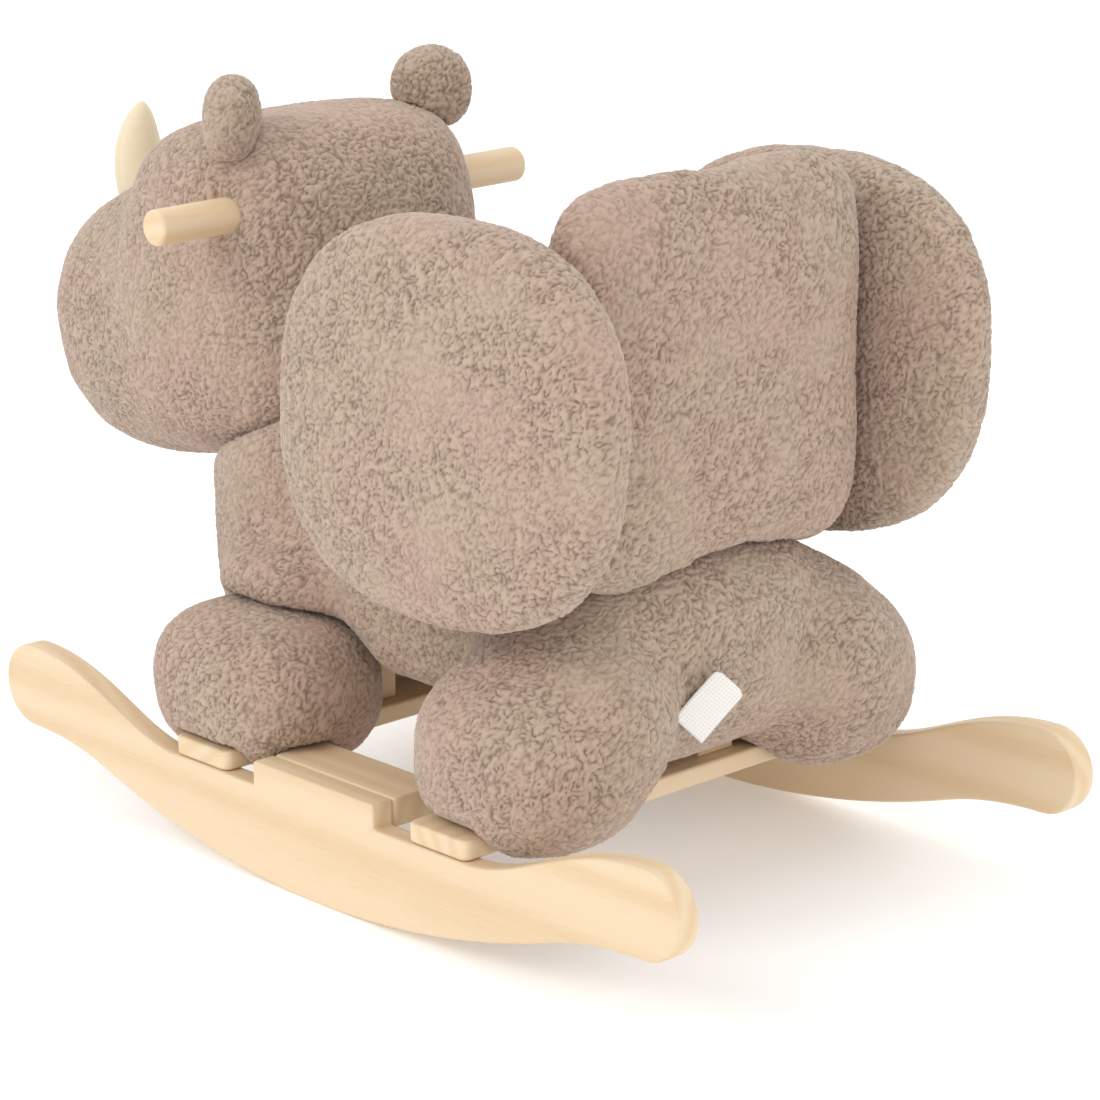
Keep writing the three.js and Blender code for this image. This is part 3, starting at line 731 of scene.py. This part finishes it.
# ---------- Operators, one for each piece or group of like pieces ----------
class ROCKER_OT_stage(bpy.types.Operator):
    """Adds the camera, the soft lights and the pale floor, which glows a little as painted light"""

    bl_idname = "rocker.stage"
    bl_label = "Stage"

    def execute(self, context):
        scene = context.scene
        azimuth, elevation, roll = math.radians(47.14), math.radians(16.22), math.radians(-0.62)
        aim = Vector((46, 26, 172)) * MM
        distance = 2341 * MM
        back = Vector((math.sin(azimuth) * math.cos(elevation), -math.cos(azimuth) * math.cos(elevation),
                       math.sin(elevation)))
        right = Vector((math.cos(azimuth), math.sin(azimuth), 0))
        up = back.cross(right)
        across = right * math.cos(roll) + up * math.sin(roll)
        upward = up * math.cos(roll) - right * math.sin(roll)
        lens = bpy.data.cameras.new("camera")
        lens.lens, lens.sensor_width = 127.0, 36.0
        camera = bpy.data.objects.new("camera", lens)
        turn = Matrix((across, upward, back)).transposed().to_4x4()
        camera.matrix_world = Matrix.Translation(aim + back * distance) @ turn
        scene.collection.objects.link(camera)
        scene.camera = camera
        scene.view_settings.view_transform = "Standard"
        scene.view_settings.look = "None"

        world = bpy.data.worlds.new("studio")
        scene.world = world
        world.use_nodes = True
        sky = world.node_tree.nodes["Background"]
        sky.inputs["Color"].default_value = (1.0, 1.0, 1.0, 1.0)
        sky.inputs["Strength"].default_value = 1.0
        lamps = (
            ("key", (-0.6, -2.6, 2.2), 1.6, 22, (1.0, 0.985, 0.96)),
            ("top", (0.0, 0.2, 2.6), 2.2, 6, (1.0, 1.0, 1.0)),
            ("fill", (2.6, -0.4, 0.9), 1.6, 5, (1.0, 0.98, 0.95)),
        )
        for name, place, size, power, colour in lamps:
            light = bpy.data.lights.new(name, "AREA")
            light.shape, light.size, light.energy, light.color = "DISK", size, power, colour
            lamp = bpy.data.objects.new(name, light)
            lamp.location = place
            lamp.rotation_mode = "QUATERNION"
            lamp.rotation_quaternion = (Vector((0, 0, 0.2)) - lamp.location).to_track_quat("-Z", "Y")
            scene.collection.objects.link(lamp)

        build = bmesh.new()
        bmesh.ops.create_circle(build, cap_ends=True, radius=9.0, segments=96)
        mesh = bpy.data.meshes.new("floor")
        build.to_mesh(mesh)
        build.free()
        material, tree, shader = new_material("glowing_floor_painted_rolled")
        speckle = add_node(tree, "ShaderNodeTexNoise", {"Scale": 40.0, "Detail": 2.0})
        colour = add_node(tree, "ShaderNodeValToRGB", {"Fac": speckle.outputs["Fac"]})
        set_ramp(colour, [(0.3, linear("F6F6F6")), (0.7, linear("F8F8F8"))])
        tree.links.new(colour.outputs["Color"], shader.inputs["Base Color"])
        # Painted light: the floor glows a little, which lifts the shadows on it and lights the rocker from below.
        shader.inputs["Emission Color"].default_value = (1.0, 0.99, 0.98, 1.0)
        shader.inputs["Emission Strength"].default_value = 0.2
        shader.inputs["Roughness"].default_value = 0.35
        shader.inputs["Specular IOR Level"].default_value = 0.25
        mesh.materials.append(material)
        floor = bpy.data.objects.new("floor", mesh)
        scene.collection.objects.link(floor)
        return {"FINISHED"}


class ROCKER_OT_frame(bpy.types.Operator):
    """Finishes the wooden frame and the screws that stay as they are packed"""

    bl_idname = "rocker.frame"
    bl_label = "Inner Frame"

    def execute(self, context):
        wanted = {"pine_y": ("armrest_rail",), "pine_z": ("leg_post",),
                  "plywood": ("seat_board", "backrest_board", "neck_board", "armrest_board"),
                  "steel": ("bar_screw", "post_screw", "armrest_screw", "footrest_screw", "backrest_screw")}
        for name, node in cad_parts.items():
            for material, starts in wanted.items():
                if name.startswith(starts):
                    node.material_slots[0].material = finish_named(material)
        return {"FINISHED"}


class ROCKER_OT_rockers(bpy.types.Operator):
    """Makes the two rockers"""

    bl_idname = "rocker.rockers"
    bl_label = "Rockers"

    def execute(self, context):
        for name, side in SIDES:
            low, high = node_box(f"rocker_{name}")
            lay = Matrix.Translation(Vector((MIDDLE_X, (low[1] + high[1]) / 2, 0)) * MM)
            lay = lay @ Matrix.Rotation(math.pi / 2, 4, "X")
            piece = board(f"rocker_board_{name}", rocker_outline(), high[1] - low[1], lay, "pine_x")
            mount_piece(piece, "pine", f"rocker_{name}")
        return {"FINISHED"}


class ROCKER_OT_bars(bpy.types.Operator):
    """Makes the cross bars and the footrests"""

    bl_idname = "rocker.bars"
    bl_label = "Cross Bars and Footrests"

    def execute(self, context):
        flat = [("cross_bar_front", 6.0, "pine_y"), ("cross_bar_rear", 6.0, "pine_y"),
                ("footrest_left", 3.0, "pine_x"), ("footrest_right", 3.0, "pine_x")]
        for node, corner, material in flat:
            middle, half = middle_and_half(node)
            lay = Matrix.Translation(Vector(middle) * MM)
            outline = rounded_rectangle(2 * half[0], 2 * half[1], corner)
            piece = board(f"{node}_board", outline, 2 * half[2], lay, material)
            mount_piece(piece, "pine", node)
        return {"FINISHED"}


class ROCKER_OT_handle(bpy.types.Operator):
    """Makes the turned handle through the head"""

    bl_idname = "rocker.handle"
    bl_label = "Handle"

    def execute(self, context):
        middle, half = middle_and_half("handle")
        radius, corner = half[0], 3.0
        profile = [(radius - corner + corner * math.sin(a), corner * (1 - math.cos(a)))
                   for a in np.radians(np.linspace(0, 90, 7))]
        rings = [(r, -half[1] + y) for r, y in profile] + [(r, half[1] - y) for r, y in reversed(profile)]
        around = 48
        points = [(middle[0] + r * math.cos(2 * math.pi * i / around), y,
                   middle[2] + r * math.sin(2 * math.pi * i / around)) for r, y in rings for i in range(around)]
        faces = [[k * around + i, k * around + (i + 1) % around, (k + 1) * around + (i + 1) % around,
                  (k + 1) * around + i] for k in range(len(rings) - 1) for i in range(around)]
        faces += [list(range(around))[::-1], [(len(rings) - 1) * around + i for i in range(around)]]
        faces = [face[::-1] for face in faces]
        mesh = bpy.data.meshes.new("handle_rod")
        mesh.from_pydata([(x * MM, y * MM, z * MM) for x, y, z in points], [], faces)
        mesh.materials.append(finish_named("pine_y"))
        mesh.polygons.foreach_set("use_smooth", np.ones(len(mesh.polygons), bool))
        piece = bpy.data.objects.new("handle_rod", mesh)
        context.scene.collection.objects.link(piece)
        piece.modifiers.new("even_shading", "WEIGHTED_NORMAL").weight = 100
        apply_modifiers(piece)
        mount_piece(piece, "pine", "handle")
        return {"FINISHED"}


class ROCKER_OT_body(bpy.types.Operator):
    """Makes the plush body, whose hind legs and paws are sewn in one with it"""

    bl_idname = "rocker.body"
    bl_label = "Body"

    def execute(self, context):
        low, high = node_box("body")
        shape = pressed(with_hind_paws, [HEAD] + FRONT_PAWS, gap=0.6, width=14.0)
        paws = ("paw_rear_left", "paw_rear_right")
        field = pressed(shape, BARS + STEPS + ROCKERS)
        fleece_cover("body", field, low - [0, 60, 30], high + [0, 60, 0], also=paws)
        return {"FINISHED"}


class ROCKER_OT_head(bpy.types.Operator):
    """Makes the plush head"""

    bl_idname = "rocker.head"
    bl_label = "Head"

    def execute(self, context):
        low, high = node_box("head")
        rod, half = middle_and_half("handle")

        def field(points):
            away = np.hypot(points[:, 0] - rod[0], points[:, 2] - rod[2]) - half[0]
            return HEAD(points) + 3.0 * np.exp(-(away / 6.0) ** 2) * (np.abs(points[:, 1]) > 40)

        fleece_cover("head", field, low, high)
        return {"FINISHED"}


class ROCKER_OT_armrests(bpy.types.Operator):
    """Makes the two padded armrests"""

    bl_idname = "rocker.armrests"
    bl_label = "Armrests"

    def execute(self, context):
        for name, side in SIDES:
            middle, half = middle_and_half(f"armrest_{name}")
            size = (ARMREST_HALF_LENGTH, half[1], half[2])
            at = (shape_x(96), middle[1], middle[2])
            field = pillow(at, size, 2.5, 3.4, rim=1, lean=0.09, tilt=2)
            low, high = node_box(f"armrest_{name}")
            fleece_cover(f"armrest_{name}", field, low, high)
        return {"FINISHED"}


class ROCKER_OT_backrest(bpy.types.Operator):
    """Makes the padded backrest between the armrests"""

    bl_idname = "rocker.backrest"
    bl_label = "Backrest"

    def execute(self, context):
        middle, half = middle_and_half("backrest")
        slab = pillow((middle[0] - 1, 0, middle[2]), half - [0, 1, 0], 6, 2.8, rim=0)
        low, high = node_box("backrest")
        fleece_cover("backrest", pressed(slab, [TRUNK]), low, high)
        return {"FINISHED"}


class ROCKER_OT_cushion(bpy.types.Operator):
    """Makes the seat cushion"""

    bl_idname = "rocker.cushion"
    bl_label = "Seat Cushion"

    def execute(self, context):
        middle, half = middle_and_half("seat_cushion")
        slab = pillow(middle, half - [0, 1, 0], 5, 2.4)
        low, high = node_box("seat_cushion")
        fleece_cover("seat_cushion", pressed(slab, [TRUNK]), low, high)
        return {"FINISHED"}


class ROCKER_OT_paws(bpy.types.Operator):
    """Makes the two front paws around the ends of the front cross bar"""

    bl_idname = "rocker.paws"
    bl_label = "Front Paws"

    def execute(self, context):
        for (name, side), paw in zip(SIDES, FRONT_PAWS):
            low, high = node_box(f"paw_front_{name}")
            field = pressed(paw, BARS + STEPS + ROCKERS)
            fleece_cover(f"paw_front_{name}", field, low - 8, high + 20)
        return {"FINISHED"}


class ROCKER_OT_ears(bpy.types.Operator):
    """Makes the two ears"""

    bl_idname = "rocker.ears"
    bl_label = "Ears"

    def execute(self, context):
        for name, side in SIDES:
            low, high = node_box(f"ear_{name}")
            disc = pillow((shape_x(-168), side * 79, 428), (17, 26, 27), 2.2, 2.5, rim=0, turn=-side * 38)
            field = pressed(disc, [HEAD], gap=-2.0, width=3.0)
            fleece_cover(f"ear_{name}", field, low, high, loose=1.5, even=0.3)
        return {"FINISHED"}


class ROCKER_OT_horn(bpy.types.Operator):
    """Makes the stuffed felt horn"""

    bl_idname = "rocker.horn"
    bl_label = "Horn"

    def execute(self, context):
        base, height, radius, bend, tilt = np.array((shape_x(-356), 0, 336)), 71, 18, 8, math.radians(-5)
        rows, around = 56, 64
        points = []
        for k in range(rows):
            t = (k / (rows - 1)) ** 0.8 if k < rows - 1 else 1.0
            wide = radius * (1 - t ** 2.5) ** 0.62
            for i in range(around):
                a = 2 * math.pi * i / around
                seam = 1 - 0.05 * math.exp(-(math.sin(a - math.pi / 2) ** 2) / 0.01)
                x = wide * seam * math.cos(a) - bend * math.sin(math.pi * t)
                y, z = wide * seam * math.sin(a), height * t
                points.append((base[0] + x * math.cos(tilt) + z * math.sin(tilt), y,
                               base[2] - x * math.sin(tilt) + z * math.cos(tilt)))
        faces = [[k * around + i, k * around + (i + 1) % around, (k + 1) * around + (i + 1) % around,
                  (k + 1) * around + i] for k in range(rows - 1) for i in range(around)]
        faces.append(list(range(around))[::-1])
        piece = new_object("horn_cone", points, faces, "felt")
        build = bmesh.new()
        build.from_mesh(piece.data)
        bmesh.ops.remove_doubles(build, verts=build.verts, dist=0.05 * MM)
        bmesh.ops.recalc_face_normals(build, faces=build.faces)
        build.to_mesh(piece.data)
        build.free()
        piece.data.polygons.foreach_set("use_smooth", np.ones(len(piece.data.polygons), bool))
        mount_piece(piece, "wool_felt", "horn")
        return {"FINISHED"}


class ROCKER_OT_tag(bpy.types.Operator):
    """Makes the plain sewn tag on the rump"""

    bl_idname = "rocker.tag"
    bl_label = "Tag"

    def execute(self, context):
        middle, half = middle_and_half("label")
        thick = context.scene.rocker_sizes.tape / MM
        length, width, corner = 37.0, 22.0, 4.0
        along, across = 24, 14
        turn, swing, nod = math.radians(45), math.radians(28), math.radians(10)
        out = np.array((math.cos(swing) * math.cos(nod), -math.sin(swing) * math.cos(nod), math.sin(nod)))
        side = np.array((math.sin(swing), math.cos(swing), 0.0))
        upright = np.cross(out, side)
        lengthways = side * math.cos(turn) + upright * math.sin(turn)
        widthways = upright * math.cos(turn) - side * math.sin(turn)
        points, faces = [], []
        for layer in (1, -1):
            for i in range(along + 1):
                u = i / along
                for j in range(across + 1):
                    v = 2 * j / across - 1
                    inset = corner - math.sqrt(max(corner ** 2 - max(0, corner - (1 - u) * length) ** 2, 0))
                    lift = 4.0 + 2.5 * u * u + 0.5 * math.sin(2.5 * v + 1) * u
                    lift += layer * thick * (1 - 0.2 * abs(v) ** 6)
                    spot = middle + lengthways * (u - 0.5) * length + widthways * v * (width / 2 - inset)
                    points.append(tuple(spot + out * lift))
        row = across + 1
        size = row * (along + 1)
        for i in range(along):
            for j in range(across):
                a = i * row + j
                faces.append([a, a + row, a + row + 1, a + 1])
                faces.append([size + a, size + a + 1, size + a + row + 1, size + a + row])
        rim = [i * row for i in range(along + 1)] + [along * row + j for j in range(1, row)]
        rim += [i * row + across for i in reversed(range(along))] + [j for j in reversed(range(1, across))]
        for a, b in zip(rim, rim[1:] + rim[:1]):
            faces.append([a, size + a, size + b, b])
        piece = new_object("tape_tag", points, faces, "tape")
        build = bmesh.new()
        build.from_mesh(piece.data)
        bmesh.ops.recalc_face_normals(build, faces=build.faces)
        build.to_mesh(piece.data)
        build.free()
        piece.data.polygons.foreach_set("use_smooth", np.ones(len(piece.data.polygons), bool))
        mount_piece(piece, "woven_tape", "label")
        return {"FINISHED"}


OPERATORS = (
    ROCKER_OT_stage, ROCKER_OT_frame, ROCKER_OT_rockers, ROCKER_OT_bars, ROCKER_OT_handle, ROCKER_OT_body,
    ROCKER_OT_head, ROCKER_OT_armrests, ROCKER_OT_backrest, ROCKER_OT_cushion, ROCKER_OT_paws, ROCKER_OT_ears,
    ROCKER_OT_horn, ROCKER_OT_tag,
)


class ROCKER_PT_panel(bpy.types.Panel):
    """Lists the rocker's pieces in the sidebar"""

    bl_idname = "ROCKER_PT_panel"
    bl_label = "Plush Rocker"
    bl_space_type = "VIEW_3D"
    bl_region_type = "UI"
    bl_category = "Rocker"

    def draw(self, context):
        for group in (context.scene.rocker_sizes, context.scene.rocker_colours):
            column = self.layout.column(align=True)
            for name in group.__annotations__:
                column.prop(group, name)
        for operator in OPERATORS:
            self.layout.operator(operator.bl_idname)


CLASSES = (RockerSizes, RockerColours) + OPERATORS + (ROCKER_PT_panel,)


def register():
    for item in CLASSES:
        bpy.utils.register_class(item)
    bpy.types.Scene.rocker_sizes = PointerProperty(type=RockerSizes)
    bpy.types.Scene.rocker_colours = PointerProperty(type=RockerColours)


def unregister():
    del bpy.types.Scene.rocker_colours
    del bpy.types.Scene.rocker_sizes
    for item in reversed(CLASSES):
        bpy.utils.unregister_class(item)


def main():
    register()
    for operator in OPERATORS:
        group, name = operator.bl_idname.split(".")
        getattr(getattr(bpy.ops, group), name)()


if __name__ == "__main__":
    main()
